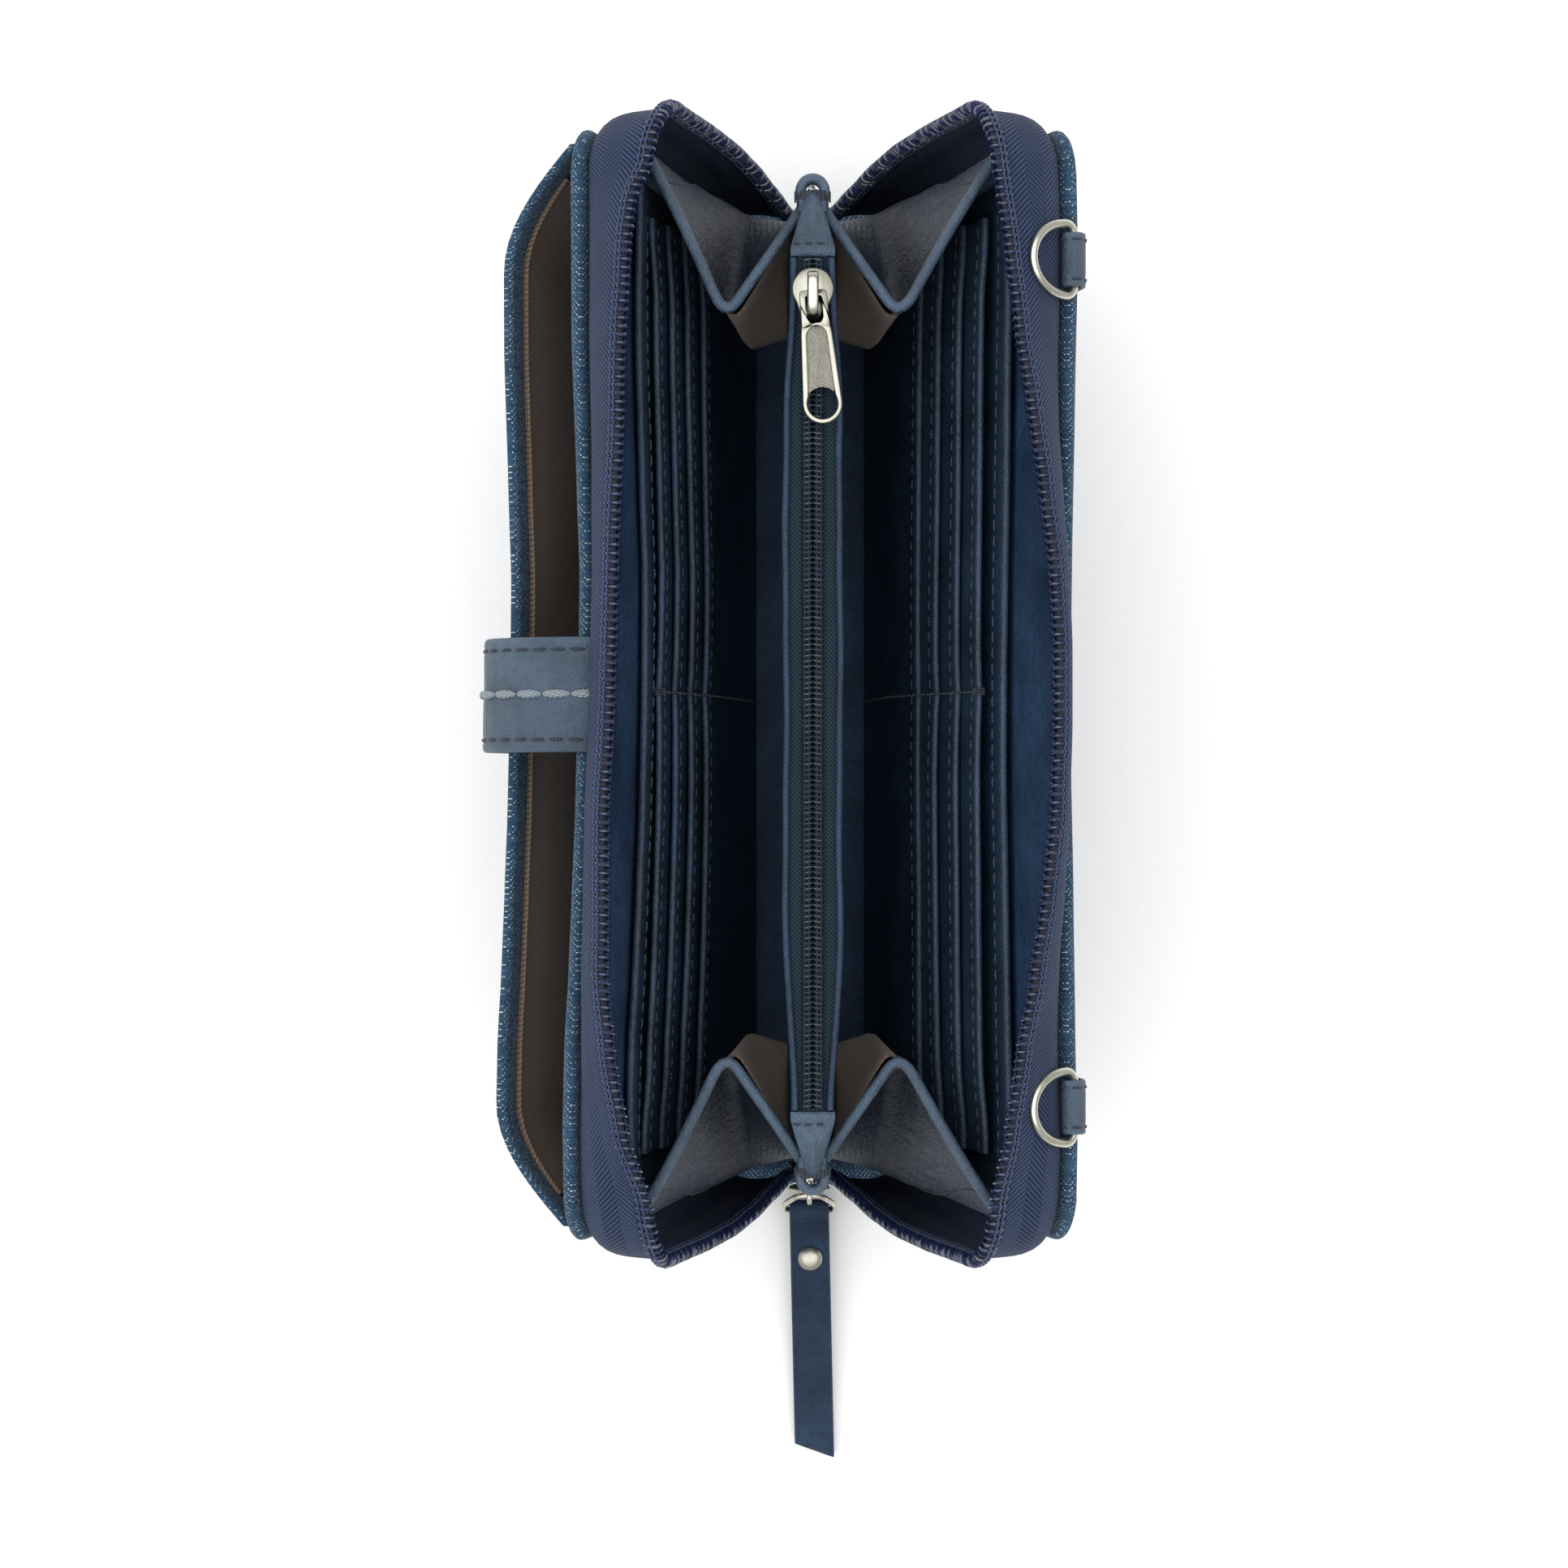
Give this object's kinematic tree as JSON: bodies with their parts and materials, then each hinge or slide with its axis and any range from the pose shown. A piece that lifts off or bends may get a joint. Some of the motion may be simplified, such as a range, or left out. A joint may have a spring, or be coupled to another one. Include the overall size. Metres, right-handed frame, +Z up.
{
  "type": "zip-around travel wallet",
  "caption": "Denim and leather zip-around travel wallet standing open, with a coin purse, stepped card panels, an outside phone pocket with snap strap, and D-rings.",
  "frame": {"origin": "centre of the spine's underside, on the surface that the wallet stands on", "axes": "+Z up through the open mouth, +Y along the spine away from the parked zip pull, +X across the mouth towards the half with the D-rings"},
  "size_m": [0.109, 0.2592, 0.1177],
  "materials": {
    "denim": "woven cotton denim",
    "leather": "grained, semi-matt",
    "twill": "brown twill",
    "zip_tape": "herringbone tape",
    "zip_coil": "nylon coil",
    "board": "pressed fibre board",
    "nickel": "polished nickel plate"
  },
  "bodies": {
    "wallet_core": {"spine_denim_cover": "denim", "spine_stiffener": "board", "spine_lining": "leather", "zip_end_stop_front": "zip_coil", "zip_end_stop_rear": "zip_coil", "purse_wall_left": "leather", "purse_wall_right": "leather", "purse_zip_tape_left": "zip_tape", "purse_zip_tape_right": "zip_tape", "purse_zip_coil_left": "zip_coil", "purse_zip_coil_right": "zip_coil", "purse_zip_cap_front": "leather", "purse_zip_cap_rear": "leather", "gusset_loop_front": "leather", "gusset_loop_rear": "leather", "gusset_left_front": "leather", "gusset_left_rear": "leather", "gusset_right_front": "leather", "gusset_right_rear": "leather", "gusset_left_front_lining": "twill", "gusset_left_rear_lining": "twill", "gusset_right_front_lining": "twill", "gusset_right_rear_lining": "twill"},
    "left_half": {"left_denim_cover": "denim", "left_board": "board", "left_lining": "leather", "left_zip_tape": "zip_tape", "left_zip_coil": "zip_coil", "left_divider": "leather", "left_card_slot_1": "leather", "left_card_slot_2": "leather", "left_card_slot_3": "leather", "left_card_slot_4": "leather", "phone_pocket_panel": "denim", "phone_pocket_lining": "twill", "snap_stud": "nickel"},
    "right_half": {"right_denim_cover": "denim", "right_board": "board", "right_lining": "leather", "right_zip_tape": "zip_tape", "right_zip_coil": "zip_coil", "right_divider": "leather", "right_card_slot_1": "leather", "right_card_slot_2": "leather", "right_card_slot_3": "leather", "right_card_slot_4": "leather", "d_ring_tab_front": "leather", "d_ring_tab_rear": "leather"},
    "strap": {"phone_strap": "leather", "snap_socket": "nickel", "snap_cap": "nickel"},
    "ring_front": {"d_ring_front": "nickel"},
    "ring_rear": {"d_ring_rear": "nickel"},
    "purse_slider": {"coin_slider": "nickel"},
    "purse_pull": {"coin_pull": "nickel"},
    "mouth_slider": {"main_slider": "nickel"},
    "mouth_link": {"pull_link": "nickel"},
    "mouth_pull": {"leather_pull": "leather", "pull_rivet": "nickel"}
  },
  "joints": [
    {"name": "left_half_fold", "type": "hinge", "parent": "wallet_core", "child": "left_half", "pos_m": [-0.019, 0, 0.002], "axis": [0, 1, 0], "range_deg": [-6, 13], "deforming": ["left_zip_tape", "left_zip_coil", "gusset_left_front", "gusset_left_rear", "gusset_left_front_lining", "gusset_left_rear_lining"]},
    {"name": "right_half_fold", "type": "hinge", "parent": "wallet_core", "child": "right_half", "pos_m": [0.019, 0, 0.002], "axis": [0, 1, 0], "range_deg": [-15, 10], "deforming": ["right_zip_tape", "right_zip_coil", "gusset_right_front", "gusset_right_rear", "gusset_right_front_lining", "gusset_right_rear_lining"]},
    {"name": "phone_strap_lift", "type": "hinge", "parent": "left_half", "child": "strap", "pos_m": [-0.0407, 0, 0.10629], "axis": [0, 1, 0], "range_deg": [0, 95]},
    {"name": "ring_front_swing", "type": "hinge", "parent": "right_half", "child": "ring_front", "pos_m": [0.04596, -0.0746, 0.10597], "axis": [0, 1, 0], "range_deg": [0, 200]},
    {"name": "ring_rear_swing", "type": "hinge", "parent": "right_half", "child": "ring_rear", "pos_m": [0.04596, 0.0746, 0.10597], "axis": [0, 1, 0], "range_deg": [0, 200]},
    {"name": "purse_slider_travel", "type": "slide", "parent": "wallet_core", "child": "purse_slider", "axis": [0, -1, 0], "range_m": [0, 0.13]},
    {"name": "purse_pull_flip", "type": "hinge", "parent": "purse_slider", "child": "purse_pull", "pos_m": [0, 0.0688, 0.10635], "axis": [-1, 0, 0], "range_deg": [0, 175]},
    {"name": "mouth_slider_travel", "type": "slide", "parent": "wallet_core", "child": "mouth_slider", "axis": [0, 0, 1], "range_m": [0, 0.008]},
    {"name": "mouth_link_swing", "type": "hinge", "parent": "mouth_slider", "child": "mouth_link", "pos_m": [0, -0.10065, 0.0126], "axis": [-1, 0, 0], "range_deg": [0, 60]},
    {"name": "mouth_pull_swing", "type": "hinge", "parent": "mouth_link", "child": "mouth_pull", "pos_m": [0, -0.1041, 0.0074], "axis": [-1, 0, 0], "range_deg": [0, 40]}
  ]
}
